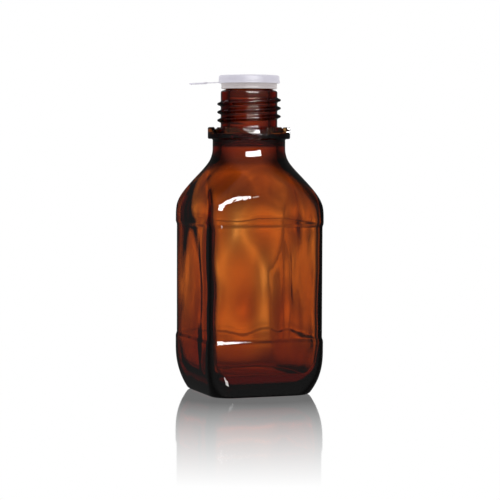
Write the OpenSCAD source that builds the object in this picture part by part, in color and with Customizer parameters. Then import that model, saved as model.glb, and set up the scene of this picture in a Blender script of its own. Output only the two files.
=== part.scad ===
// Square narrow-neck reagent bottle, nominal 250 ml, with a GL 32 screw thread,
// a ratchet collar, a push-in pouring ring and a press-on sealing lid with a pull tab.
// Millimetres, +Z up, origin at the centre of the resting plane, broad front face towards -Y.

/* [Body] */
// Width of the square body across its shoulder and heel bands
body_w = 59.4; // [56:0.1:64]
// Radius of the vertical corners at the bands
body_corner_r = 5.6; // [4:0.1:8]
// Depth of the recessed label panel
panel_depth = 0.55; // [0.3:0.05:1]
// Height of the label panel's lower step
panel_low_z = 27.4; // [24:0.1:34]
// Height of the label panel's upper step
panel_high_z = 82.9; // [74:0.1:84]
// Height of the rounded heel
heel_h = 22; // [16:0.5:23]
// How far the heel draws in at the base, per side
heel_draw = 4.3; // [2:0.1:6]
// Glass thickness of the body walls
wall = 2.8; // [2:0.1:4]
// Glass thickness of the base
base_thick = 6.5; // [4:0.1:9]
// Rise of the push-up under the base
punt_rise = 1.4; // [0.5:0.1:3]

/* [Shoulder and neck] */
// Radius of the plain neck under the collar
neck_r = 17.85; // [17:0.05:18.5]
// Height at which the shoulder has become the plain neck
neck_z = 120; // [119:0.5:121]
// Steepest lean of the shoulder from the vertical, in degrees
shoulder_angle = 34; // [32:1:36]
// Radius of the shoulder's outward curve
shoulder_r = 38; // [30:1:38]
// Radius of the fillet between shoulder and neck
neck_fillet_r = 12.8; // [10:0.1:14]

/* [Collar] */
// Outer radius of the ratchet collar
collar_r = 20.25; // [19.5:0.05:21]
// Height of the collar's underside
collar_z = 124.6; // [124:0.1:125]
// Thickness of the collar's ring
collar_ring_h = 2.7; // [2:0.1:3]
// Height of the ratchet teeth above the ring
tooth_h = 3.1; // [2:0.1:3.4]
// Number of ratchet teeth
tooth_count = 6; // [4:1:8]
// Angle that one tooth takes up, ramp included, in degrees
tooth_span = 40; // [30:1:44]
// Angle of the ramp at one end of a tooth, in degrees
tooth_ramp = 12; // [8:1:20]
// Direction of the first tooth, in degrees
tooth_phase = 3; // [0:1:60]

/* [Thread and lip] */
// Radius of the glass under the thread
thread_root_r = 13.9; // [13.5:0.05:14.2]
// Radius of the thread's crest
thread_crest_r = 15.6; // [15.2:0.05:16]
// Rise of the thread in one turn
thread_pitch = 4; // [3:0.1:5]
// Number of thread turns
thread_turns = 3; // [2:0.25:3]
// Height of the middle of the thread where it begins
thread_low_z = 132.8; // [132.5:0.1:134]
// Direction in which the thread begins, in degrees
thread_phase = 70; // [0:5:355]
// Radius of the mouth's bore
bore_r = 9.5; // [9:0.1:10]
// Height of the lip
lip_z = 151.5; // [151.5:0.1:152]
// Radius of the bead round the lip
bead_r = 12.4; // [12:0.05:12.6]

/* [Closure] */
// Outer radius of the pouring ring's skirt
ring_r = 13.7; // [13.4:0.05:14]
// Height of the pouring ring's lower edge
ring_z = 149.1; // [149:0.1:149.5]
// Radius of the pouring ring's opening
pour_r = 8.2; // [7:0.1:8.4]
// Outer radius of the sealing lid at its lower edge
lid_r = 15.15; // [15:0.05:15.6]
// Height of the lid's lower edge
lid_z = 151.9; // [151.8:0.1:152.2]
// Height of the lid's top
lid_top_z = 155.8; // [155.8:0.1:156.5]
// Direction in which the pull tab points, in degrees
tab_angle = 160; // [0:5:355]
// Reach of the pull tab's end from the bottle's axis
tab_reach = 29.3; // [24:0.1:30]
// Width of the pull tab's grip
grip_w = 7.5; // [5:0.1:10]
// Thickness of the pull tab's grip
grip_t = 1; // [0.8:0.1:1.2]
// Width of the thin strap between the lid and the grip
strap_w = 4; // [3:0.1:6]
// Thickness of the thin strap
strap_t = 0.45; // [0.3:0.05:0.6]
// How far the pull tab hangs below the horizontal, in degrees
tab_droop = 4; // [0:1:8]

/* [Hidden] */

amber = [0.45, 0.18, 0.05];
natural_plastic = [0.83, 0.83, 0.87];
milky_plastic = [0.78, 0.76, 0.78];

// Clearances between the pieces of the closure
seat_gap = 0.05;
plug_gap = 0.08;
hinge_gap = 0.06;

// Rounded-square sections
band_half = body_w / 2;
outer_steps = 11;
inner_steps = 8;
// Round parts start just inside the many-sided lofts that they meet
joint_step = 0.12;
step_h = 2.4;
base_edge_r = 1.2;
heel_power = 2.45;
rest_width = 3.2;
squareness = 1 - body_corner_r / band_half;
round_from_z = 91;
round_to_z = 114;

// Shoulder: an outward arc, a straight lean and a fillet, all tangent
fillet_z = neck_z - neck_fillet_r * sin(shoulder_angle);
fillet_half = neck_r + neck_fillet_r * (1 - cos(shoulder_angle));
meet_z = fillet_z - (band_half - fillet_half) / tan(shoulder_angle);
arc_reach = shoulder_r * tan(shoulder_angle / 2);
arc_low_z = meet_z - arc_reach;
arc_high_z = meet_z + arc_reach * cos(shoulder_angle);
loft_top_z = round_to_z + 0.5;

// Cavity
inner_heel_r = 9;
inner_corner_r = 4.5;
neck_wall = 4.3;
cavity_top_z = loft_top_z - 1.5;
narrow_low_z = neck_z + 1;
narrow_high_z = collar_z + 4;

// Collar
ring_top_z = collar_z + collar_ring_h;
core_r = 16.8;
core_top_z = ring_top_z + 2.4;
groove_z = ring_top_z - 0.2;
tooth_inner_r = 18.3;
gap_phase = tooth_phase + tooth_ramp + (360 / tooth_count - tooth_span) / 2;

// Thread ridge: height across the root and across the crest
ridge_root_h = 2.3;
ridge_crest_h = 0.8;
ridge_facets = 24;
ridge_sink = 0.4;
fade_turn = 0.2;

// Pouring ring and lid
web_z = lip_z + seat_gap;
web_h = 1.2;
spigot_depth = 6.5;
pour_lip_z = 154.6;
lid_plate_h = 1.1;
lid_edge_r = 0.9;
lid_draft = 0.3;
lid_skirt_t = 1.0;
plug_wall = 1.2;
plug_depth = 3.4;

// Pull tab
hinge_r = strap_t / 2;
hinge_x = lid_r + hinge_gap + hinge_r;
hinge_z = lid_z + 0.4;
strap_end = hinge_x + 4.6;

function smooth(t) =
    let (u = min(1, max(0, t)))
    u * u * (3 - 2 * u);

function mix(a, b, t) = a + (b - a) * t;

// Points of an arc round [x, y], from angle a0 to angle a1
function arc(x, y, r, a0, a1, n = 6) =
    [for (k = [0:n]) let (a = mix(a0, a1, k / n)) [x + r * cos(a), y + r * sin(a)]];

function panel_share(z) =
    smooth((z - panel_low_z) / step_h + 0.5) - smooth((z - panel_high_z) / step_h + 0.5);

function heel_in(z) = heel_draw * pow(max(0, 1 - z / heel_h), heel_power);

function edge_in(z) =
    let (u = 1 - min(1, z / base_edge_r))
    base_edge_r * (1 - sqrt(1 - u * u));

function body_half(z) = band_half - heel_in(z) - edge_in(z) - panel_depth * panel_share(z);

function shoulder_half(z) =
    z < arc_low_z ? body_half(z)
    : z < arc_high_z ? band_half - shoulder_r + sqrt(pow(shoulder_r, 2) - pow(z - arc_low_z, 2))
    : z < fillet_z ? fillet_half + (fillet_z - z) * tan(shoulder_angle)
    : z < neck_z ? neck_r + neck_fillet_r - sqrt(pow(neck_fillet_r, 2) - pow(neck_z - z, 2))
    : neck_r;

function round_share(z) = smooth((z - round_from_z) / (round_to_z - round_from_z));

function roundness(z) = 1 - squareness * (1 - round_share(z));

function corner_r(z) =
    z < arc_low_z ? body_corner_r + heel_in(z) - edge_in(z) - panel_depth * panel_share(z)
    : shoulder_half(z) * roundness(z);

function inner_heel_in(z) =
    let (u = 1 - min(1, (z - base_thick) / inner_heel_r))
    inner_heel_r * (1 - sqrt(1 - u * u));

function wall_at(z) = mix(wall, neck_wall, smooth((z - arc_low_z) / (neck_z - arc_low_z)));

function cavity_half(z) = shoulder_half(max(z, heel_h)) - wall_at(z) - inner_heel_in(z);

function cavity_corner(z) =
    min(cavity_half(z), mix(inner_corner_r, cavity_half(z), round_share(z)));

// One level of a loft: a square of half-width h with corners of radius r
function section(h, r, z, n) =
    [for (c = [0:3]) for (k = [0:n - 1])
        let (a = 90 * (c + (k + 0.5) / n))
        let (sx = c == 0 || c == 3 ? 1 : -1)
        let (sy = c < 2 ? 1 : -1)
        [sx * (h - r) + r * cos(a), sy * (h - r) + r * sin(a), z]];

// Solid through a list of [half-width, corner radius, height] levels
module loft(levels, n) {
    count = 4 * n;
    top = count * (len(levels) - 1);
    points = [for (l = levels) each section(l[0], l[1], l[2], n)];
    sides = [for (j = [0:len(levels) - 2]) for (i = [0:count - 1])
        let (a = j * count + i)
        let (b = j * count + (i + 1) % count)
        [a, a + count, b + count, b]];
    low_cap = [[for (i = [0:count - 1]) i]];
    high_cap = [[for (i = [count - 1:-1:0]) top + i]];
    polyhedron(points, concat(low_cap, sides, high_cap), convexity = 4);
}

function even(a, b, n) = [for (k = [0:n]) mix(a, b, k / n)];

body_heights = concat(
    [for (k = [0:3]) base_edge_r * (1 - cos(30 * k))],
    [for (k = [1:7]) mix(base_edge_r, heel_h, pow(k / 7, 1.3))],
    even(panel_low_z - step_h / 2, panel_low_z + step_h / 2, 4),
    even(panel_high_z - step_h / 2, panel_high_z + step_h / 2, 4),
    even(arc_low_z, loft_top_z, 14));

rest_half = body_half(0);
punt_levels = [
    [rest_half * 0.3, corner_r(0) * 0.6, punt_rise],
    [rest_half * 0.7, corner_r(0) * 0.8, punt_rise * 0.7],
    [rest_half - rest_width, corner_r(0) * 0.9, 0]];

body_levels = [for (z = body_heights) [shoulder_half(z), corner_r(z), z]];

cavity_heights = concat(
    [for (k = [0:5]) base_thick + inner_heel_r * (1 - cos(18 * k))],
    [arc_low_z - 4],
    even(arc_low_z, cavity_top_z, 10));

cavity_levels = [for (z = cavity_heights) [cavity_half(z), cavity_corner(z), z]];

// Outline of the neck, collar and lip, outside of the glass
neck_outline = concat(
    [[bore_r - 1, loft_top_z - 4], [core_r - 2, loft_top_z - 4], [core_r - 2, loft_top_z]],
    [[shoulder_half(loft_top_z) - joint_step, loft_top_z]],
    [for (z = even(loft_top_z + 0.9, neck_z, 5)) [shoulder_half(z), z]],
    arc(neck_r + 0.7, collar_z - 0.7, 0.7, 180, 90, 3),
    arc(collar_r - 0.8, collar_z + 0.8, 0.8, -90, 0, 4),
    arc(collar_r - 0.8, ring_top_z + tooth_h - 0.8, 0.8, 0, 90, 4),
    [[tooth_inner_r, ring_top_z + tooth_h], [tooth_inner_r, groove_z]],
    arc(core_r + 0.4, groove_z + 0.4, 0.4, 270, 180, 3),
    arc(core_r - 0.9, core_top_z - 0.9, 0.9, 0, 90, 4),
    arc(thread_root_r + 1, core_top_z + 1, 1, 270, 180, 4),
    arc(thread_root_r - 1.1, lip_z - 4.3, 1.1, 0, 80, 4),
    arc(bead_r - 0.4, lip_z - 2.3, 0.6, 220, 150, 4),
    arc(bead_r - 0.5, lip_z - 1.1, 0.5, -20, 0, 2),
    arc(bead_r - 0.7, lip_z - 0.7, 0.7, 0, 90, 4),
    [[bore_r - 1, lip_z]]);

// Outline of the hollow in the neck, narrowing to the mouth's bore
neck_hollow = concat(
    [[0, cavity_top_z - 0.5], [cavity_half(cavity_top_z) - joint_step, cavity_top_z - 0.5]],
    [for (z = even(cavity_top_z, narrow_low_z, 5)) [cavity_half(z) - joint_step, z]],
    [for (t = even(0.125, 1, 7))
        [mix(cavity_half(narrow_low_z) - joint_step, bore_r, smooth(t)),
         mix(narrow_low_z, narrow_high_z, t)]],
    arc(bore_r + 0.7, lip_z - 0.7, 0.7, 180, 90, 4),
    [[bore_r + 0.7, lip_z + 1], [0, lip_z + 1]]);

// Gap between two teeth: upright at the end of one, ramped up to the next
module tooth_gap() {
    reach = collar_r + 2;
    gap_half = collar_r * sin((360 / tooth_count - tooth_span) / 2);
    ramp = collar_r * sin(tooth_ramp);
    translate([tooth_inner_r - 0.6, 0, ring_top_z])
        rotate([90, 0, 90])
        linear_extrude(height = reach - tooth_inner_r)
        polygon([
            [-gap_half, 0],
            [gap_half, 0],
            [gap_half, tooth_h + 1],
            [-gap_half - ramp, tooth_h + 1],
            [-gap_half - ramp, tooth_h]]);
}

// Thread ridge, fading in and out at its ends
module thread_ridge() {
    steps = ceil(thread_turns * ridge_facets);
    last = 4 * steps;
    points = [for (k = [0:steps])
        let (turn = thread_turns * k / steps)
        let (a = 360 * turn)
        let (z = thread_low_z + thread_pitch * turn)
        let (grow = smooth(min(turn, thread_turns - turn) / fade_turn))
        let (crest = mix(thread_root_r - ridge_sink / 2, thread_crest_r, grow))
        let (root = thread_root_r - ridge_sink)
        each [
            [root * cos(a), root * sin(a), z - ridge_root_h / 2],
            [crest * cos(a), crest * sin(a), z - ridge_crest_h / 2 - 0.15],
            [crest * cos(a), crest * sin(a), z + ridge_crest_h / 2 - 0.15],
            [root * cos(a), root * sin(a), z + ridge_root_h / 2]]];
    sides = [for (j = [0:steps - 1]) for (i = [0:3])
        let (a = 4 * j + i)
        let (b = 4 * j + (i + 1) % 4)
        each [[a, b, a + 4], [b, b + 4, a + 4]]];
    polyhedron(points, concat([[3, 2, 1, 0]], sides, [[last, last + 1, last + 2, last + 3]]));
}

module bottle() {
    color(amber)
    difference() {
        union() {
            loft(concat(punt_levels, body_levels), outer_steps);
            rotate_extrude($fn = 96) polygon(neck_outline);
            rotate([0, 0, thread_phase]) thread_ridge();
        }
        for (k = [0:tooth_count - 1])
            rotate([0, 0, gap_phase + 360 * k / tooth_count]) tooth_gap();
        loft(cavity_levels, inner_steps);
        rotate_extrude($fn = 96) polygon(neck_hollow);
    }
}

// Skirt round the bead, web over the lip, spigot in the bore and a flared pouring lip
module pouring_ring() {
    skirt_inner_r = bead_r + seat_gap;
    spigot_r = bore_r - seat_gap;
    color(milky_plastic)
    rotate_extrude($fn = 96)
    polygon(concat(
        [[pour_r, web_z - spigot_depth], [spigot_r - 0.5, web_z - spigot_depth]],
        [[spigot_r, web_z - spigot_depth + 1.5], [spigot_r, web_z - 0.6]],
        arc(spigot_r + 0.6, web_z - 0.6, 0.6, 180, 90, 4),
        [[skirt_inner_r - 0.75, web_z]],
        arc(skirt_inner_r - 0.75, web_z - 0.75, 0.75, 90, 0, 4),
        [[skirt_inner_r, ring_z + 0.3], [skirt_inner_r + 0.3, ring_z]],
        arc(ring_r - 0.3, ring_z + 0.3, 0.3, -90, 0, 3),
        arc(ring_r - 0.3, web_z + web_h - 0.3, 0.3, 0, 90, 3),
        [[pour_r + 2.2, web_z + web_h], [pour_r + 2.6, pour_lip_z - 0.7], [pour_r + 3.4, pour_lip_z]],
        [[pour_r + 2.9, pour_lip_z], [pour_r + 1.4, pour_lip_z - 0.9], [pour_r, web_z + web_h - 0.4]]));
}

// Plate with a skirt over the pouring ring and a plug in its opening
module sealing_lid() {
    top_r = lid_r - lid_draft;
    plate_z = lid_top_z - lid_plate_h;
    plug_r = pour_r - plug_gap;
    color(natural_plastic)
    rotate_extrude($fn = 96)
    polygon(concat(
        [[0, plate_z], [plug_r - plug_wall, plate_z], [plug_r - plug_wall, plate_z - plug_depth]],
        [[plug_r - 0.5, plate_z - plug_depth], [plug_r, plate_z - plug_depth + 0.8]],
        [[plug_r, web_z + web_h - 0.5], [plug_r - 0.2, plate_z]],
        [[top_r - lid_skirt_t, plate_z], [lid_r - lid_skirt_t, lid_z]],
        [[lid_r, lid_z], [top_r, lid_top_z - lid_edge_r]],
        arc(top_r - lid_edge_r, lid_top_z - lid_edge_r, lid_edge_r, 15, 90, 5),
        [[0, lid_top_z]]));
}

// Thin strap and thicker grip, drooping from a hinge line beside the lid's skirt
module pull_tab() {
    grip_r = grip_w / 2;
    grip_start = strap_end + 1;
    color(natural_plastic)
    rotate([0, 0, tab_angle])
    translate([hinge_x, 0, hinge_z])
    rotate([0, tab_droop, 0])
    translate([-hinge_x, 0, 0])
    union() {
        translate([hinge_x, 0, 0])
            rotate([90, 0, 0])
            cylinder(h = strap_w, r = hinge_r, center = true, $fn = 24);
        translate([hinge_x, -strap_w / 2, -strap_t / 2])
            cube([grip_start - hinge_x, strap_w, strap_t]);
        translate([0, 0, -grip_t / 2])
            linear_extrude(height = grip_t)
            polygon(concat(
                [[strap_end, -strap_w / 2]],
                arc(grip_start + 0.8, -grip_r + 0.8, 0.8, 225, 270, 2),
                arc(tab_reach - grip_r, 0, grip_r, -90, 90, 16),
                arc(grip_start + 0.8, grip_r - 0.8, 0.8, 90, 135, 2),
                [[strap_end, strap_w / 2]]));
    }
}

bottle();
pouring_ring();
sealing_lid();
pull_tab();
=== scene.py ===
import math

import bmesh
import bpy
import numpy as np
from mathutils import Matrix, Vector, noise


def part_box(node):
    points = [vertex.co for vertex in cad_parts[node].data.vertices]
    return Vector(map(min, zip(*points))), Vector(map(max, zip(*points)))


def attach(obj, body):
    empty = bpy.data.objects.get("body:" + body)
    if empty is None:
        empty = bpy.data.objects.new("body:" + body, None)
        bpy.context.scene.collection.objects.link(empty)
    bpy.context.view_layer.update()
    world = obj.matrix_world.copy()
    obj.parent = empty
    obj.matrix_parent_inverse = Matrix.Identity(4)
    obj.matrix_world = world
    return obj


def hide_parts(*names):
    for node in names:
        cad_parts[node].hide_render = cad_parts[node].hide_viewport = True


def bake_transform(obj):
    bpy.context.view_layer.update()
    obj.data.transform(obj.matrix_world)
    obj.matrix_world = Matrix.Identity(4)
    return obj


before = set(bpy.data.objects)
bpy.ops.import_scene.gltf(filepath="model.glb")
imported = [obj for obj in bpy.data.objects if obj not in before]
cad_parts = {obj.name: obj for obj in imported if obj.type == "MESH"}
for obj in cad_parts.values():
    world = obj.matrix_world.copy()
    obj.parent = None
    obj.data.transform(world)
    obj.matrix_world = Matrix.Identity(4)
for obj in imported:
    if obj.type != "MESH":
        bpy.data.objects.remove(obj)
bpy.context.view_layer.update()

# Lengths are in millimetres, as on a drawing, until MM turns them into the scene's metres.
MM = 0.001
BOTTLE_LOW, BOTTLE_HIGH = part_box("bottle")
RING_LOW, RING_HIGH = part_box("pouring_ring")
LID_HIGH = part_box("sealing_lid")[1]

# ---------------------------------------------------------------- the glass body
BAND_HALF = (BOTTLE_HIGH[0] - BOTTLE_LOW[0]) / 2 / MM
BODY_CORNER = 5.6
PANEL_DEPTH = 0.55
PANEL_LOW, PANEL_HIGH, STEP_H = 27.4, 82.9, 2.4
HEEL_H, HEEL_DRAW, HEEL_POWER = 22.0, 4.3, 2.45
BASE_EDGE = 1.2
PUNT_RISE, REST_WIDTH = 1.4, 3.2
ROUND_FROM, ROUND_TO = 91.0, 114.0
SQUARENESS = 1 - BODY_CORNER / BAND_HALF

NECK_R, NECK_Z = 17.85, 120.0
SHOULDER_ANGLE, SHOULDER_R, FILLET_R = math.radians(34), 38.0, 12.8
FILLET_Z = NECK_Z - FILLET_R * math.sin(SHOULDER_ANGLE)
FILLET_HALF = NECK_R + FILLET_R * (1 - math.cos(SHOULDER_ANGLE))
MEET_Z = FILLET_Z - (BAND_HALF - FILLET_HALF) / math.tan(SHOULDER_ANGLE)
ARC_REACH = SHOULDER_R * math.tan(SHOULDER_ANGLE / 2)
ARC_LOW = MEET_Z - ARC_REACH
ARC_HIGH = MEET_Z + ARC_REACH * math.cos(SHOULDER_ANGLE)

# ---------------------------------------------------------------- its hollow
WALL, NECK_WALL, BASE_THICK = 2.8, 4.3, 6.5
INNER_HEEL, INNER_CORNER, FLOOR_CROWN = 10.0, 3.0, 0.9
HEEL_THICK, HEEL_THICK_FROM = 2.2, 36.0
NARROW_LOW, NARROW_HIGH = NECK_Z + 1, 128.6
BORE_R = 9.5

# ---------------------------------------------------------------- unevenness of the glass
# Height where a wave starts, the height it takes to grow, where it ends, the height it takes to fade
INNER_SPAN = (BASE_THICK, 12.0, 106.0, 10.0)
OUTER_SPAN = (2.0, 10.0, 112.0, 6.0)
# A noise wave's size across, its seed, its depth, and what height is multiplied by to stretch it
BROAD_WAVE = (24.0, 1.7, 1.4, 0.6)
FINE_WAVE = (11.0, 8.4, 0.45, 0.75)
OUTER_SIZE, OUTER_SEED, OUTER_SINK = 19.0, 5.7, 0.06
# The right side is thicker: the direction of the middle in degrees, the reach each way, the depth
SIDE_ANGLE, SIDE_WIDTH, SIDE_DEPTH = 4.0, 30.0, 0.6
# The upright corner that was left thick: the same three, then where it fades and over what height
RIB_ANGLE, RIB_WIDTH, RIB_DEPTH = 216.0, 6.0, 2.1
RIB_FADE_FROM, RIB_FADE = 74.0, 16.0
# How the rib wanders as it rises: degrees each way, height of one radian, where it starts
RIB_WANDER = ((1.6, 11.0, 4.2), (1.0, 4.7, 2.6))
# Where the wall is thick or thin: direction and height of the middle, reach both ways, depth
THICK_SPOTS = (
    (244.0, 86.0, 14.0, 15.0, -1.5), (90.0, 78.0, 13.0, 17.0, -1.1), (244.0, 43.0, 14.0, 13.0, 1.9),
    (264.0, 60.0, 8.0, 13.0, -0.9), (287.0, 44.0, 9.0, 26.0, 1.2), (188.0, 40.0, 24.0, 40.0, 1.0),
    (178.0, 92.0, 24.0, 16.0, -0.7), (276.0, 102.0, 20.0, 9.0, 0.9))

# ---------------------------------------------------------------- collar, thread and lip
COLLAR_R, COLLAR_Z, RING_TOP = 20.25, 124.6, 127.3
TOOTH_H, TOOTH_COUNT, TOOTH_INNER = 3.1, 6, 18.3
TOOTH_SPACING = 360 / TOOTH_COUNT
GAP_LOW_ANGLE, GAP_HIGH_ANGLE, RAMP_ANGLE, STEEP_ANGLE = 15.0, 35.0, 12.4, 0.7
GROOVE_Z, CORE_R, CORE_TOP = 127.1, 16.8, 129.7
ROOT_R, CREST_R, PITCH, TURNS = 13.9, 15.6, 4.0, 3.0
THREAD_LOW, THREAD_PHASE = 132.8, 70.0
THREAD_FROM, THREAD_TO = 131.0, 146.9
# The ridge's reach up and down, the part of it that slopes, how far it sits low, its ends in turns
RIDGE_REACH, RIDGE_SLOPE, RIDGE_LOW, RIDGE_END = 1.3, 1.05, 0.1, 0.2
BEAD_R = 12.4
LIP_Z = BOTTLE_HIGH[2] / MM

# ---------------------------------------------------------------- closure
POUR_R, SKIRT_Z = 8.2, 149.1
LID_R, SKIRT_LID_Z = 15.15, 151.9
HINGE_X, HINGE_Z = 15.435, 152.3
TAB_ANGLE, TAB_DROOP = math.radians(160), math.radians(3.2)
TAB_REACH, GRIP_HALF = 29.3, 3.75
HINGE_IN, HINGE_OUT = 0.45, 0.75      # distances each side of the hinge; the points they give are not used, so nothing bends there
STRAP_HALF, STRAP_THICK, HINGE_THICK, GRIP_THICK = 2.0, 0.5, 0.3, 1.0
RIM_FROM, RIM_DEPTH, RIM_SIDE, RIM_END = 21.5, 0.16, 0.7, 1.2
TAB_SIDES, TAB_ROUND = 32, 0.55       # points round the tab, and how square its section is

# ---------------------------------------------------------------- columns of the glass mesh, in degrees
COLUMN_STEP, CORNER_STEP, CORNER_REACH, CLOSEST = 2.5, 0.8, 7.2, 0.2
STEEP_STEPS = (-0.9, -0.5, -0.25, 0, 0.25, 0.5, 0.9)

# ---------------------------------------------------------------- materials
# How strongly amber glass absorbs red, green and blue, per metre
ABSORB = (114.0, 388.0, 842.0)
GLASS_IOR, PLASTIC_IOR = 1.52, 1.51
# The ring is the lid's polyethylene painted darker and warmer: painted shade from the lid's overhang
# and a painted amber glow from the glass under it.
LID_COLOUR, RING_PAINTED_SHADE_COLOUR, DARKER = (0.62, 0.60, 0.68), (0.55, 0.50, 0.50), 0.95
ROUGHNESS, ROUGHNESS_SPREAD = 0.42, 0.06
SOFT_DEPTH = (0.002, 0.002, 0.002)

# ---------------------------------------------------------------- camera
LENS, SENSOR = 139.587, 36.0
VIEW_AZIMUTH = math.radians(20)
CAMERA_FORWARD = Vector((math.sin(VIEW_AZIMUTH), math.cos(VIEW_AZIMUTH), 0))
CAMERA_BACK, CAMERA_HEIGHT = 0.955, 0.125
CAMERA_PITCH, CAMERA_YAW, CAMERA_ROLL = math.radians(-3.3), math.radians(-0.043), math.radians(0.2)

# ---------------------------------------------------------------- light, as the glass sees it
BACKDROP_RISE = math.radians(-3.7)
# Each patch of light: its reach sideways, upwards and downwards in degrees, and its brightness
BACKDROP_PATCHES = ((7.5, 3.2, 3.2, 0.60), (40.0, 13.0, 22.0, 0.48))
# Brightness to the sides and behind, and the cosines from CAMERA_FORWARD between which it changes
AROUND_FROM, AROUND_TO, DARK_LEVEL, AROUND_LEVEL = 0.1, -0.5, 0.03, 0.45
# Brightness of the table, and the sines below the horizon between which it rises from nothing
BELOW_FROM, BELOW_TO, BELOW_LEVEL = -0.35, -0.65, 0.30
# What the glass mirrors is darker: the cosines, and the brightness ahead and behind
GLOSS_FROM, GLOSS_TO, GLOSS_LEVELS = 0.2, -0.6, (0.05, 0.20)
# The area lights' distance from the point that they face, and its height, in metres
LIGHT_DISTANCE, LIGHT_AIM = 1.0, 0.11
# Each area light: its name, direction, elevation and lean in degrees, size in metres, and watts
SOFTBOX = ("softbox", -94.4, 22.0, -10.0, (0.82, 0.41), 30.0)
TABLE_PATCH = ("table_patch", -74.6, -38.0, 0.0, (0.08, 0.22), 0.7)

# ---------------------------------------------------------------- floor, in metres
FLOOR_HALF, FLOOR_DROP, FLOOR_ROUGHNESS = 6.0, 0.00005, 0.05
# The reflection fades with the distance from the bottle's axis
FADE_NEAR, FADE_FAR, FADE_STRENGTH = 0.045, 0.265, 0.98


def smooth(t):
    """0 for t below 0, 1 for t above 1, and an even S-curve between."""
    t = np.clip(t, 0.0, 1.0)
    return t * t * (3 - 2 * t)


def mix(a, b, t):
    return a + (b - a) * t


def arc(x, y, r, a0, a1, n):
    """Points on an arc round (x, y), from angle a0 to a1 in n steps."""
    angles = np.radians(np.linspace(a0, a1, n + 1))
    return [(x + r * math.cos(a), y + r * math.sin(a)) for a in angles]


def panel_share(z):
    """1 on the recessed label panel, 0 on the bands above and below it."""
    return smooth((z - PANEL_LOW) / STEP_H + 0.5) - smooth((z - PANEL_HIGH) / STEP_H + 0.5)


def heel_in(z):
    """How far the heel has drawn in at height z."""
    return HEEL_DRAW * np.maximum(0, 1 - z / HEEL_H) ** HEEL_POWER


def edge_in(z):
    """How far the rounded bottom edge has turned in at height z."""
    u = 1 - np.minimum(1, z / BASE_EDGE)
    return BASE_EDGE * (1 - np.sqrt(np.maximum(0, 1 - u * u)))


def outer_half(z):
    """Half the width across the flats at height z."""
    body = BAND_HALF - heel_in(z) - edge_in(z) - PANEL_DEPTH * panel_share(z)
    arch = BAND_HALF - SHOULDER_R + np.sqrt(np.maximum(0, SHOULDER_R ** 2 - (z - ARC_LOW) ** 2))
    lean = FILLET_HALF + (FILLET_Z - z) * math.tan(SHOULDER_ANGLE)
    fillet = NECK_R + FILLET_R - np.sqrt(np.maximum(0, FILLET_R ** 2 - (NECK_Z - z) ** 2))
    bounds = [z < ARC_LOW, z < ARC_HIGH, z < FILLET_Z, z < NECK_Z]
    return float(np.select(bounds, [body, arch, lean, fillet], NECK_R))


def round_share(z):
    """0 on the square body, 1 where the shoulder has become round."""
    return smooth((z - ROUND_FROM) / (ROUND_TO - ROUND_FROM))


def roundness(z):
    """Corner radius as a share of the half-width: low on the body, 1 on the neck."""
    return 1 - SQUARENESS * (1 - round_share(z))


def outer_corner(z):
    """Radius of the upright corners at height z."""
    if z < ARC_LOW:
        return float(BODY_CORNER + heel_in(z) - edge_in(z) - PANEL_DEPTH * panel_share(z))
    return float(outer_half(z) * roundness(z))


def inner_half(z):
    """Half the hollow's width across the flats at height z."""
    wall = mix(WALL, NECK_WALL, smooth((z - ARC_LOW) / (NECK_Z - ARC_LOW)))
    u = 1 - min(1, (z - BASE_THICK) / INNER_HEEL)
    heel = INNER_HEEL * (1 - math.sqrt(max(0, 1 - u * u)))
    thick = HEEL_THICK * smooth((HEEL_THICK_FROM - z) / HEEL_THICK_FROM)
    return float(outer_half(max(z, HEEL_H)) - wall - heel - thick)


def inner_corner(z):
    """Radius of the hollow's upright corners at height z."""
    half = inner_half(z)
    return float(min(half, mix(INNER_CORNER, half, round_share(z))))


def column_angles():
    """Directions of the mesh's columns: closer together on the corners and at the teeth."""
    angles = set(np.round(np.arange(0, 360, COLUMN_STEP), 3))
    for quarter in range(4):
        for step in np.arange(-CORNER_REACH, CORNER_REACH + CORNER_STEP / 2, CORNER_STEP):
            angles.add(round(90 * quarter + 45 + step, 3))
    for k in range(TOOTH_COUNT):
        turn = TOOTH_SPACING * k
        for step in STEEP_STEPS:
            angles.add(round((GAP_HIGH_ANGLE + turn + step) % 360, 3))
        for edge in (GAP_LOW_ANGLE, GAP_LOW_ANGLE - RAMP_ANGLE):
            for step in (-1, 0, 1):
                angles.add(round((edge + turn + step) % 360, 3))
    kept = []
    for a in sorted(angles):
        if not kept or a - kept[-1] > CLOSEST:
            kept.append(a)
    return np.radians(np.array(kept))


ANGLES = column_angles()


def section_radius(half, corner):
    """Polar radius, in each column's direction, of a square with rounded corners."""
    folded = np.abs((ANGLES + math.pi / 4) % (math.pi / 2) - math.pi / 4)
    flat = half / np.cos(folded)
    c = half - corner
    u = c * (np.cos(folded) + np.sin(folded))
    rounded = u + np.sqrt(np.maximum(0, u * u - 2 * c * c + corner * corner))
    on_flat = half * np.tan(folded) <= c
    return np.where(on_flat, flat, rounded)


def tooth_share():
    """In each column's direction, how much of a ratchet tooth's height stands there."""
    a = np.degrees(ANGLES) % TOOTH_SPACING
    fall = np.clip((a - (GAP_LOW_ANGLE - RAMP_ANGLE)) / RAMP_ANGLE, 0, 1)
    rise = np.clip((a - GAP_HIGH_ANGLE) / STEEP_ANGLE + 0.5, 0, 1)
    return np.maximum(1 - fall, smooth(rise))


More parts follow.
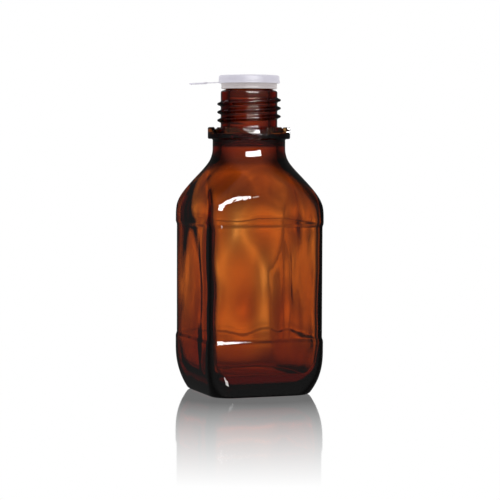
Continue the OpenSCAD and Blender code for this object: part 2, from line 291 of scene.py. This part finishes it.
def thread_height(z):
    """How far the thread ridge stands out of the root at height z, in each column's direction."""
    height = np.zeros_like(ANGLES)
    offset = (np.degrees(ANGLES) - THREAD_PHASE) % 360 / 360
    for whole in range(int(TURNS) + 1):
        turn = offset + whole
        grow = smooth(np.minimum(turn, TURNS - turn) / RIDGE_END)
        away = np.abs(z + RIDGE_LOW - (THREAD_LOW + PITCH * turn))
        ridge = smooth((RIDGE_REACH - away) / RIDGE_SLOPE)
        height = np.maximum(height, (CREST_R - ROOT_R) * ridge * grow * (turn <= TURNS))
    return height


def level(radius, z):
    """One ring of points: polar radius and height in each column's direction."""
    return np.broadcast_to(radius, ANGLES.shape), np.broadcast_to(z, ANGLES.shape)


def base_levels():
    """From the middle of the push-up out to the rim that the bottle stands on."""
    half, corner = outer_half(0), outer_corner(0)
    rest = half - REST_WIDTH
    levels = []
    for share in (0.12, 0.3, 0.5, 0.68, 0.82, 0.92, 0.98):
        radius = section_radius(rest * share, rest * share * mix(0.9, corner / half, share))
        levels.append(level(radius, PUNT_RISE * (1 - share ** 3)))
    levels.append(level(section_radius(rest + 0.5, corner * 0.95), 0.0))
    levels.append(level(section_radius(half - 0.6, corner * 0.98), 0.0))
    return levels


def body_levels():
    """Bottom edge, heel, label panel with its two steps, shoulder, up to the neck."""
    heights = [BASE_EDGE * (1 - math.cos(math.radians(15 * k))) for k in range(7)]
    heights += list(mix(BASE_EDGE, HEEL_H, np.linspace(0, 1, 16)[1:] ** 1.25))
    heights += list(np.linspace(PANEL_LOW - STEP_H / 2, PANEL_LOW + STEP_H / 2, 9))
    heights += list(np.linspace(PANEL_LOW + STEP_H / 2, PANEL_HIGH - STEP_H / 2, 20)[1:-1])
    heights += list(np.linspace(PANEL_HIGH - STEP_H / 2, PANEL_HIGH + STEP_H / 2, 9))
    heights += list(np.linspace(ARC_LOW, NECK_Z, 36))
    return [level(section_radius(outer_half(z), outer_corner(z)), z) for z in heights]


def collar_levels():
    """Neck, ring, teeth and gaps, groove and core, up to the root of the thread."""
    share = tooth_share()
    top = RING_TOP + TOOTH_H * share
    edge = mix(0.45, 0.8, share)
    levels = [level(NECK_R, z) for z in (121.2, 122.5, 123.5)]
    levels += [level(r, z) for r, z in arc(NECK_R + 0.7, COLLAR_Z - 0.7, 0.7, 180, 90, 4)]
    levels += [level(r, z) for r, z in arc(COLLAR_R - 0.8, COLLAR_Z + 0.8, 0.8, -90, 0, 6)]
    for t in (0.2, 0.4, 0.6, 0.8, 1.0):
        levels.append(level(COLLAR_R, mix(COLLAR_Z + 0.8, top - edge, t)))
    for k in range(1, 7):
        turn = math.radians(15 * k)
        radius = COLLAR_R - edge * (1 - math.cos(turn))
        levels.append(level(radius, top - edge * (1 - math.sin(turn))))
    levels.append(level(mix(COLLAR_R - edge, TOOTH_INNER + 0.3, 0.5), top))
    levels.append(level(TOOTH_INNER + 0.3, top))
    levels.append(level(TOOTH_INNER + 0.09, top - 0.09 * share))
    levels.append(level(TOOTH_INNER, top - 0.3 * share))
    for t in (0.33, 0.66):
        levels.append(level(TOOTH_INNER, mix(top - 0.3 * share, GROOVE_Z + 0.1, t)))
    levels.append(level(TOOTH_INNER - 0.05, GROOVE_Z + 0.05))
    levels += [level(r, z) for r, z in arc(CORE_R + 0.4, GROOVE_Z + 0.4, 0.4, 270, 180, 4)]
    levels += [level(r, z) for r, z in arc(CORE_R - 0.9, CORE_TOP - 0.9, 0.9, 0, 90, 6)]
    levels += [level(r, z) for r, z in arc(ROOT_R + 1, CORE_TOP + 1, 1, 270, 180, 5)]
    return levels


def thread_levels():
    """The screw thread, with a little plain root below and above it."""
    heights = np.linspace(THREAD_FROM, THREAD_TO, 50)
    return [level(ROOT_R + thread_height(z), z) for z in heights]


def lip_levels():
    """Over the bead and the lip, and down the bore to where the hollow widens."""
    outline = arc(ROOT_R - 1.1, LIP_Z - 4.3, 1.1, 0, 80, 4)
    outline += arc(BEAD_R - 0.4, LIP_Z - 2.3, 0.6, 220, 150, 4)
    outline += arc(BEAD_R - 0.5, LIP_Z - 1.1, 0.5, -20, 0, 2)
    outline += arc(BEAD_R - 0.7, LIP_Z - 0.7, 0.7, 0, 90, 5)
    outline += arc(BORE_R + 0.7, LIP_Z - 0.7, 0.7, 90, 180, 5)
    outline += [(BORE_R, z) for z in (147.0, 143.0, 139.0, 135.0, 131.5)]
    for t in np.linspace(1, 0, 12):
        radius = mix(inner_half(NARROW_LOW), BORE_R, smooth(t))
        outline.append((radius, mix(NARROW_LOW, NARROW_HIGH, t)))
    return [level(r, z) for r, z in outline]


def hollow_levels():
    """Down the inside of the neck, shoulder, walls and heel, and in across the floor."""
    heights = list(np.linspace(NECK_Z, ARC_LOW, 28))
    heights += list(np.linspace(ARC_LOW, BASE_THICK + INNER_HEEL, 30)[1:])
    turns = [math.radians(a) for a in range(81, -1, -9)]
    heights += [BASE_THICK + INNER_HEEL * (1 - math.cos(turn)) for turn in turns]
    levels = [level(section_radius(inner_half(z), inner_corner(z)), z) for z in heights]
    half, corner = inner_half(BASE_THICK), inner_corner(BASE_THICK)
    for share in (0.88, 0.72, 0.52, 0.32, 0.14):
        radius = section_radius(half * share, half * share * mix(1.0, corner / half, share))
        levels.append(level(radius, BASE_THICK + FLOOR_CROWN * (1 - share * share)))
    return levels


def wave(x, y, z, size, seed):
    """Smooth noise between about -1 and 1, the same on every run."""
    return noise.noise(Vector((x / size + seed, y / size - seed, z / size)))


def ripple(levels, depth_at):
    """Pushes each level's points in or out by depth_at(x, y, z)."""
    moved = []
    for radius, height in levels:
        x, y = radius * np.cos(ANGLES), radius * np.sin(ANGLES)
        depth = np.array([depth_at(*p) for p in zip(x, y, height)])
        moved.append((radius + depth, height))
    return moved


def within(z, span):
    """1 inside a span of heights, fading to 0 at both its ends."""
    start, growth, end, fade = span
    return smooth((z - start) / growth) * (1 - smooth((z - end) / fade))


def bump(a, centre, width):
    """1 in the direction centre, falling to 0 on both sides of it. All are in degrees."""
    away = (a - centre + 180) % 360 - 180
    return math.exp(-(away / width) ** 2)


def corner_rib(a, z):
    """Glass left thick along one upright corner, wandering from side to side as it rises."""
    wander = sum(reach * math.sin(z / height + start) for reach, height, start in RIB_WANDER)
    fade = 1 - smooth((z - RIB_FADE_FROM) / RIB_FADE)
    return RIB_DEPTH * bump(a, RIB_ANGLE + wander, RIB_WIDTH) * fade


def thick_spots(a, z):
    """How much thicker THICK_SPOTS make the wall in direction a at height z."""
    return sum(depth * bump(a, centre, width) * math.exp(-((z - middle) / height) ** 2)
               for centre, middle, width, height, depth in THICK_SPOTS)


def inner_wave(x, y, z):
    """The hollow was blown, so its wall wanders by about a millimetre and is thick in places."""
    a = math.degrees(math.atan2(y, x)) % 360
    depth = 0.0
    for size, seed, reach, stretch in (BROAD_WAVE, FINE_WAVE):
        depth += wave(x, y, z * stretch, size, seed) * reach
    depth -= SIDE_DEPTH * bump(a, SIDE_ANGLE, SIDE_WIDTH)
    depth -= thick_spots(a, z)
    depth -= corner_rib(a, z)
    return float(within(z, INNER_SPAN) * depth)


def outer_wave(x, y, z):
    """The mould's face is nearly true: it sinks in by a few hundredths here and there."""
    sink = OUTER_SINK * (0.5 + wave(x, y, z, OUTER_SIZE, OUTER_SEED))
    return float(-within(z, OUTER_SPAN) * sink)


def loft_object(name, levels, low_z, high_z):
    """Closed mesh through all levels, with a pole at each end on the axis."""
    count = len(ANGLES)
    cosines, sines = np.cos(ANGLES), np.sin(ANGLES)
    points = [(0.0, 0.0, low_z * MM)]
    for radius, height in levels:
        ring = np.stack([radius * cosines, radius * sines, height], axis=1) * MM
        points += [tuple(p) for p in ring]
    points.append((0.0, 0.0, high_z * MM))
    last = len(points) - 1
    faces = [(0, 1 + (i + 1) % count, 1 + i) for i in range(count)]
    for j in range(len(levels) - 1):
        a, b = 1 + j * count, 1 + (j + 1) * count
        for i in range(count):
            k = (i + 1) % count
            faces.append((a + i, a + k, b + k, b + i))
    end = 1 + (len(levels) - 1) * count
    faces += [(end + i, end + (i + 1) % count, last) for i in range(count)]
    return mesh_object(name, points, faces)


def mesh_object(name, points, faces):
    """Smooth-shaded object whose faces all look outwards."""
    mesh = bpy.data.meshes.new(name)
    mesh.from_pydata(points, [], faces)
    mesh.validate()
    shape = bmesh.new()
    shape.from_mesh(mesh)
    bmesh.ops.recalc_face_normals(shape, faces=shape.faces)
    if shape.calc_volume(signed=True) < 0:
        bmesh.ops.reverse_faces(shape, faces=shape.faces)
    shape.to_mesh(mesh)
    shape.free()
    mesh.polygons.foreach_set("use_smooth", [True] * len(mesh.polygons))
    mesh.update()
    obj = bpy.data.objects.new(name, mesh)
    bpy.context.collection.objects.link(obj)
    return obj


# ---------------------------------------------------------------- materials
class Nodes:
    """Short names for filling one node tree, which it empties first."""

    def __init__(self, tree):
        self.tree = tree
        self.tree.nodes.clear()

    def add(self, kind, inputs=None, **settings):
        """A node with its settings, and with its inputs set or linked."""
        node = self.tree.nodes.new(kind)
        for key, value in settings.items():
            setattr(node, key, value)
        for key, value in (inputs or {}).items():
            if isinstance(value, bpy.types.NodeSocket):
                self.tree.links.new(value, node.inputs[key])
            else:
                node.inputs[key].default_value = value
        return node

    def math(self, operation, a, b=0.0):
        return self.add("ShaderNodeMath", {0: a, 1: b}, operation=operation).outputs["Value"]

    def ramp(self, value, reach, levels, **settings):
        """Turns the range of values in reach into the range in levels."""
        inputs = {"Value": value, "From Min": reach[0], "From Max": reach[1],
                  "To Min": levels[0], "To Max": levels[1]}
        return self.add("ShaderNodeMapRange", inputs, **settings).outputs["Result"]

    def choose(self, factor, a, b):
        """Mixes two numbers: a where factor is 0, b where it is 1."""
        return self.add("ShaderNodeMix", {"Factor": factor, "A": a, "B": b}).outputs["Result"]

    def noise(self, place, scale, detail):
        inputs = {"Vector": place, "Scale": scale, "Detail": detail}
        return self.add("ShaderNodeTexNoise", inputs).outputs["Fac"]

    def bump(self, height, strength, distance):
        inputs = {"Height": height, "Strength": strength, "Distance": distance}
        return self.add("ShaderNodeBump", inputs).outputs["Normal"]


def new_material(name):
    """A new material and its empty node tree."""
    material = bpy.data.materials.new(name)
    material.use_nodes = True
    return material, Nodes(material.node_tree)


def glass_material():
    """Clear smooth glass that absorbs light on its way through."""
    material, m = new_material("amber_glass")
    place = m.add("ShaderNodeTexCoord").outputs["Object"]
    shader = m.add("ShaderNodeBsdfPrincipled", {
        "Base Color": (1.0, 1.0, 1.0, 1.0),
        "Transmission Weight": 1.0,
        "Roughness": 0.0,
        "IOR": GLASS_IOR,
        "Normal": m.bump(m.noise(place, scale=260.0, detail=3.0), strength=0.05, distance=0.0004),
    })
    density = max(ABSORB)
    tint = tuple(1 - a / density for a in ABSORB) + (1.0,)
    volume = m.add("ShaderNodeVolumeAbsorption", {"Color": tint, "Density": density})
    m.add("ShaderNodeOutputMaterial", {
        "Surface": shader.outputs["BSDF"], "Volume": volume.outputs["Volume"]})
    return material


def plastic_material(name, colour):
    """Natural polyethylene: cloudy, lets a little light in, with a faint grain."""
    material, m = new_material(name)
    place = m.add("ShaderNodeTexCoord").outputs["Object"]
    broad = m.noise(place, scale=160.0, detail=2.0)
    fine = m.noise(place, scale=2400.0, detail=3.0)
    darker = tuple(c * DARKER for c in colour)
    roughness_range = (ROUGHNESS - ROUGHNESS_SPREAD, ROUGHNESS + ROUGHNESS_SPREAD)
    shade = m.add("ShaderNodeMix", {
        "Factor": broad, "A": darker + (1.0,), "B": colour + (1.0,)}, data_type="RGBA")
    shader = m.add("ShaderNodeBsdfPrincipled", {
        "Base Color": shade.outputs["Result"],
        "Roughness": m.ramp(fine, (0.0, 1.0), roughness_range),
        "IOR": PLASTIC_IOR,
        "Specular IOR Level": 0.25,
        "Subsurface Weight": 0.6,
        "Subsurface Radius": SOFT_DEPTH,
        "Subsurface Scale": 1.0,
        "Normal": m.bump(fine, strength=0.15, distance=0.0001),
    })
    m.add("ShaderNodeOutputMaterial", {"Surface": shader.outputs["BSDF"]})
    return material


# ---------------------------------------------------------------- stage, light and camera
def make_camera():
    """The photo's viewpoint: as high as the neck, tipped slightly down, showing the left side too."""
    data = bpy.data.cameras.new("camera")
    data.lens = LENS
    data.sensor_width = SENSOR
    camera = bpy.data.objects.new("camera", data)
    bpy.context.collection.objects.link(camera)
    aim = Matrix.Rotation(CAMERA_YAW, 3, "Z") @ CAMERA_FORWARD
    level_part = math.cos(CAMERA_PITCH)
    forward = Vector((aim.x * level_part, aim.y * level_part, math.sin(CAMERA_PITCH)))
    right = forward.cross(Vector((0, 0, 1))).normalized()
    up = right.cross(forward)
    turn = Matrix((right, up, -forward)).transposed() @ Matrix.Rotation(CAMERA_ROLL, 3, "Z")
    place = -CAMERA_BACK * CAMERA_FORWARD + Vector((0, 0, CAMERA_HEIGHT))
    camera.matrix_world = Matrix.Translation(place) @ turn.to_4x4()
    bpy.context.scene.camera = camera


def area_light(name, angle, elevation, lean, size, power):
    """Rectangle of light in a given direction from the bottle, facing it, seen only by reflection."""
    data = bpy.data.lights.new(name, "AREA")
    data.shape = "RECTANGLE"
    data.size, data.size_y = size
    data.energy = power
    light = bpy.data.objects.new(name, data)
    bpy.context.collection.objects.link(light)
    a, e = math.radians(angle), math.radians(elevation)
    out = Vector((math.cos(a) * math.cos(e), math.sin(a) * math.cos(e), math.sin(e)))
    turn = out.to_track_quat("Z", "Y").to_matrix() @ Matrix.Rotation(math.radians(lean), 3, "Z")
    light.location = Vector((0, 0, LIGHT_AIM)) + LIGHT_DISTANCE * out
    light.rotation_euler = turn.to_euler()
    light.visible_camera = False
    light.visible_diffuse = False
    light.visible_transmission = False


def make_lights():
    """One large softbox in front and above, and the small patch that it lights on the table."""
    area_light(*SOFTBOX)
    area_light(*TABLE_PATCH)


def backdrop_glow(m, side, rise):
    """Sum of BACKDROP_PATCHES, each fading with the angles side and rise from its middle."""
    glow = 0.0
    for width, above, under, share in BACKDROP_PATCHES:
        across = m.math("DIVIDE", side, math.radians(width))
        up = m.math("DIVIDE", rise, math.radians(above))
        down = m.math("DIVIDE", rise, -math.radians(under))
        away = m.math("MAXIMUM", up, down)
        spread = m.math("ADD", m.math("MULTIPLY", across, across), m.math("MULTIPLY", away, away))
        falloff = m.math("EXPONENT", m.math("MULTIPLY", spread, -1.0))
        glow = m.math("ADD", m.math("MULTIPLY", falloff, share), glow)
    return glow


def make_world():
    """White to the camera. The glass sees a bright backdrop that fades to its sides."""
    world = bpy.data.worlds.new("world")
    bpy.context.scene.world = world
    world.use_nodes = True
    m = Nodes(world.node_tree)
    ray = m.add("ShaderNodeLightPath").outputs
    place = m.add("ShaderNodeTexCoord").outputs["Generated"]
    split = m.add("ShaderNodeSeparateXYZ", {"Vector": place}).outputs
    flat = m.add("ShaderNodeCombineXYZ", {"X": split["X"], "Y": split["Y"]}).outputs["Vector"]
    flat = m.add("ShaderNodeVectorMath", {0: flat}, operation="NORMALIZE").outputs["Vector"]
    along = m.add("ShaderNodeVectorMath", {0: flat, 1: CAMERA_FORWARD},
                  operation="DOT_PRODUCT").outputs["Value"]
    rise = m.math("SUBTRACT", m.math("ARCSINE", split["Z"]), BACKDROP_RISE)
    glow = backdrop_glow(m, m.math("ARCCOSINE", along), rise)
    around = m.ramp(along, (AROUND_FROM, AROUND_TO), (DARK_LEVEL, AROUND_LEVEL),
                    interpolation_type="SMOOTHSTEP")
    below = m.ramp(split["Z"], (BELOW_FROM, BELOW_TO), (0.0, BELOW_LEVEL),
                   interpolation_type="SMOOTHSTEP")
    backdrop = m.math("MAXIMUM", m.math("MAXIMUM", glow, around), below)
    mirrored = m.ramp(along, (GLOSS_FROM, GLOSS_TO), GLOSS_LEVELS)
    # Refraction in smooth glass counts as singular too, so the transmission test comes after
    strength = m.choose(ray["Is Singular Ray"], 1.0, mirrored)
    strength = m.choose(ray["Is Transmission Ray"], strength, backdrop)
    strength = m.choose(ray["Is Camera Ray"], strength, 1.0)
    sky = m.add("ShaderNodeBackground", {"Color": (1, 1, 1, 1), "Strength": strength})
    m.add("ShaderNodeOutputWorld", {"Surface": sky.outputs["Background"]})


def floor_material():
    """White, with a gloss that fades away from the bottle. Only the camera sees it."""
    material, m = new_material("floor_table")
    place = m.add("ShaderNodeTexCoord").outputs["Object"]
    away = m.add("ShaderNodeVectorMath", {0: place}, operation="LENGTH").outputs["Value"]
    fade = m.ramp(away, (FADE_NEAR, FADE_FAR), (FADE_STRENGTH, 0.0))
    facing = m.add("ShaderNodeLayerWeight", {"Blend": 0.5}).outputs["Facing"]
    weight = m.math("MULTIPLY", fade, facing)
    white = m.add("ShaderNodeEmission", {"Color": (1, 1, 1, 1), "Strength": 1.0})
    gloss = m.add("ShaderNodeBsdfGlossy", {"Color": (1, 1, 1, 1), "Roughness": FLOOR_ROUGHNESS})
    table = m.add("ShaderNodeMixShader", {
        0: weight, 1: white.outputs["Emission"], 2: gloss.outputs["BSDF"]})
    clear = m.add("ShaderNodeBsdfTransparent")
    seen = m.add("ShaderNodeLightPath").outputs["Is Camera Ray"]
    shown = m.add("ShaderNodeMixShader", {
        0: seen, 1: clear.outputs["BSDF"], 2: table.outputs["Shader"]})
    m.add("ShaderNodeOutputMaterial", {"Surface": shown.outputs["Shader"]})
    return material


def make_floor():
    """A pale table, just under the bottle's foot."""
    mesh = bpy.data.meshes.new("floor")
    corners = [(-1, -1), (1, -1), (1, 1), (-1, 1)]
    mesh.from_pydata([(x * FLOOR_HALF, y * FLOOR_HALF, 0) for x, y in corners], [], [(0, 1, 2, 3)])
    mesh.materials.append(floor_material())
    floor = bpy.data.objects.new("floor", mesh)
    floor.location.z = -FLOOR_DROP
    bpy.context.collection.objects.link(floor)


def set_render():
    """Plain colours, and enough bounces to see through both walls of the glass."""
    scene = bpy.context.scene
    scene.view_settings.view_transform = "Standard"
    scene.cycles.max_bounces = 24
    scene.cycles.transmission_bounces = 24
    scene.cycles.glossy_bounces = 12
    scene.cycles.blur_glossy = 0.0
    scene.cycles.sample_clamp_indirect = 2.0
    scene.cycles.use_denoising = True


# ---------------------------------------------------------------- the bottle
def make_bottle():
    """One closed skin: up the outside, over the lip and down the inside."""
    levels = ripple(base_levels() + body_levels(), outer_wave)
    levels += collar_levels() + thread_levels() + lip_levels()
    levels += ripple(hollow_levels(), inner_wave)
    bottle = loft_object("amber_bottle", levels, PUNT_RISE, BASE_THICK + FLOOR_CROWN)
    bottle.data.materials.append(glass_material())
    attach(bottle, "bottle")
    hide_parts("bottle")


def revolve(name, outline, sides=160):
    """Closed mesh from a closed (radius, height) outline turned about the bottle's axis."""
    count = len(outline)
    points, faces = [], []
    for i in range(sides):
        a = 2 * math.pi * i / sides
        points += [(r * math.cos(a) * MM, r * math.sin(a) * MM, z * MM) for r, z in outline]
    for i in range(sides):
        a, b = i * count, (i + 1) % sides * count
        for j in range(count):
            k = (j + 1) % count
            faces.append((a + j, b + j, b + k, a + k))
    return mesh_object(name, points, faces)


def make_pouring_ring():
    """Skirt round the bead, web over the lip, spigot in the bore and a flared pouring lip."""
    web, low, top = LIP_Z + 0.05, RING_LOW[2] / MM, RING_HIGH[2] / MM
    outer = (RING_HIGH[0] - RING_LOW[0]) / 2 / MM
    outline = [(POUR_R + 0.2, low), (POUR_R + 0.9, low)]
    outline += [(BORE_R - 0.05, low + 1.5), (BORE_R - 0.05, web - 0.6)]
    outline += arc(BORE_R + 0.55, web - 0.6, 0.6, 180, 90, 6)
    outline += arc(BEAD_R - 0.7, web - 0.75, 0.75, 90, 0, 6)
    outline += [(BEAD_R + 0.05, SKIRT_Z + 0.3), (BEAD_R + 0.15, SKIRT_Z + 0.05)]
    outline += arc(outer - 0.3, SKIRT_Z + 0.3, 0.3, -90, 0, 6)
    outline += [(outer, SKIRT_Z + 1.1), (outer - 0.12, SKIRT_Z + 1.25)]
    outline += [(outer - 0.12, SKIRT_Z + 1.45), (outer, SKIRT_Z + 1.6)]
    outline += arc(outer - 0.3, web + 0.9, 0.3, 0, 90, 6)
    outline += [(POUR_R + 2.2, web + 1.2), (POUR_R + 2.6, top - 0.7)]
    outline += [(POUR_R + 3.35, top - 0.05), (POUR_R + 3.2, top)]
    outline += [(POUR_R + 2.9, top - 0.02), (POUR_R + 1.4, top - 0.9)]
    outline += [(POUR_R + 0.1, web + 0.9), (POUR_R, web + 0.7), (POUR_R, low + 0.2)]
    return revolve("pouring_ring_moulding", outline)


def make_lid():
    """Plate with a shallow dish and a gate mark, a skirt outside and a plug inside."""
    top, low = LID_HIGH[2] / MM, SKIRT_LID_Z
    outer = LID_R - 0.3
    outline = [(0.02, top - 0.25), (0.7, top - 0.25), (0.85, top - 0.4), (1.6, top - 0.42)]
    outline += [(1.85, top - 0.3), (11.9, top - 0.22), (12.4, top - 0.15), (12.8, top - 0.02)]
    outline += [(13.2, top)]
    outline += arc(outer - 0.9, top - 0.9, 0.9, 90, 15, 8)
    outline += [(outer + 0.05, top - 1.5), (LID_R - 0.12, low + 0.7), (LID_R, low + 0.55)]
    outline += arc(LID_R - 0.15, low + 0.15, 0.15, 0, -90, 3)
    outline += arc(LID_R - 0.85, low + 0.15, 0.15, -90, -180, 3)
    outline += [(LID_R - 1.15, top - 1.4), (LID_R - 1.5, top - 1.1), (8.3, top - 1.1)]
    outline += [(POUR_R - 0.1, top - 1.3), (POUR_R - 0.08, top - 3.6), (POUR_R - 0.4, top - 4.4)]
    outline += [(POUR_R - 0.9, top - 4.5), (POUR_R - 1.28, top - 4.3), (POUR_R - 1.28, top - 1.4)]
    outline += [(POUR_R - 1.6, top - 1.1), (0.02, top - 1.1)]
    return revolve("sealing_lid_moulding", outline[::-1])


def tab_stations():
    """Distance from the axis, half-width and thickness, from the lid's skirt to the tip."""
    stations = [(14.6, 2.6, STRAP_THICK), (15.05, 2.35, 0.42), (15.3, 2.1, 0.34)]
    stations += [(15.6, STRAP_HALF, HINGE_THICK), (16.0, STRAP_HALF, 0.34)]
    stations += [(x, STRAP_HALF, STRAP_THICK) for x in np.linspace(16.5, 19.6, 6)]
    stations += [(20.0, 2.05, STRAP_THICK), (20.4, 2.3, 0.62), (20.8, 2.75, 0.8)]
    stations += [(21.2, 3.25, 0.93), (21.7, 3.6, 0.98)]
    tip = TAB_REACH - GRIP_HALF
    stations += [(x, GRIP_HALF, GRIP_THICK) for x in np.linspace(22.3, tip, 6)]
    for step in np.linspace(0, 1, 12)[1:]:
        a = step * math.radians(88)
        thick = mix(GRIP_THICK, 0.55, max(0, step - 0.75) * 4)
        stations.append((tip + GRIP_HALF * math.sin(a), GRIP_HALF * math.cos(a), thick))
    return stations


def tab_section(x, half, thick):
    """Rounded oblong across the tab. The grip's upper face sinks a little inside its rim."""
    points = []
    for a in np.linspace(0, 2 * math.pi, TAB_SIDES, endpoint=False):
        c, d = math.cos(a), math.sin(a)
        y = half * math.copysign(abs(c) ** TAB_ROUND, c)
        z = thick / 2 * math.copysign(abs(d) ** TAB_ROUND, d)
        if x > RIM_FROM and d > 0.3:
            inside = smooth((half - abs(y)) / RIM_SIDE) * smooth((TAB_REACH - x) / RIM_END)
            z -= RIM_DEPTH * inside * smooth((x - RIM_FROM) / RIM_END)
        points.append(Vector((x, y, z)))
    return points


def make_tab():
    """Strap moulded on to the lid's skirt, widening into a rounded grip with a low rim."""
    place = Matrix.Rotation(TAB_ANGLE, 4, "Z") @ Matrix.Translation((HINGE_X, 0, HINGE_Z))
    place = place @ Matrix.Rotation(TAB_DROOP, 4, "Y") @ Matrix.Translation((-HINGE_X, 0, 0))
    points = []
    for station in tab_stations():
        points += [place @ p * MM for p in tab_section(*station)]
    last = len(points) - TAB_SIDES
    faces = []
    for j in range(0, last, TAB_SIDES):
        for i in range(TAB_SIDES):
            k = (i + 1) % TAB_SIDES
            faces.append((j + i, j + TAB_SIDES + i, j + TAB_SIDES + k, j + k))
    faces.append(tuple(range(TAB_SIDES)))
    faces.append(tuple(last + i for i in reversed(range(TAB_SIDES))))
    return mesh_object("pull_tab_strap", points, faces)


def make_closure():
    """The three plastic pieces. The tab is tipped down about its hinge on the lid as one stiff piece.
    """
    lid_material = plastic_material("lid_polyethylene", LID_COLOUR)
    # The ring's colour holds painted shade and a painted amber glow; the lid's colour is the plastic's
    # own.
    ring_material = plastic_material("ring_polyethylene", RING_PAINTED_SHADE_COLOUR)
    ring, lid, tab = make_pouring_ring(), make_lid(), make_tab()
    for piece, node, slot, material in (
            (ring, "pouring_ring", "ring_polyethylene", ring_material),
            (lid, "sealing_lid", "lid_polyethylene", lid_material),
            (tab, "pull_tab", "lid_polyethylene", lid_material)):
        piece.data.materials.append(material)
        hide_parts(node)
    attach(ring, "pouring_ring")
    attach(lid, "sealing_lid")
    out = Vector((math.cos(TAB_ANGLE), math.sin(TAB_ANGLE), 0))
    start = out * (HINGE_X - HINGE_IN) * MM
    end = out * (HINGE_X + HINGE_OUT) * MM
    start.z = end.z = HINGE_Z * MM
    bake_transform(tab)


make_camera()
make_bottle()
make_closure()
make_world()
make_floor()
make_lights()
set_render()
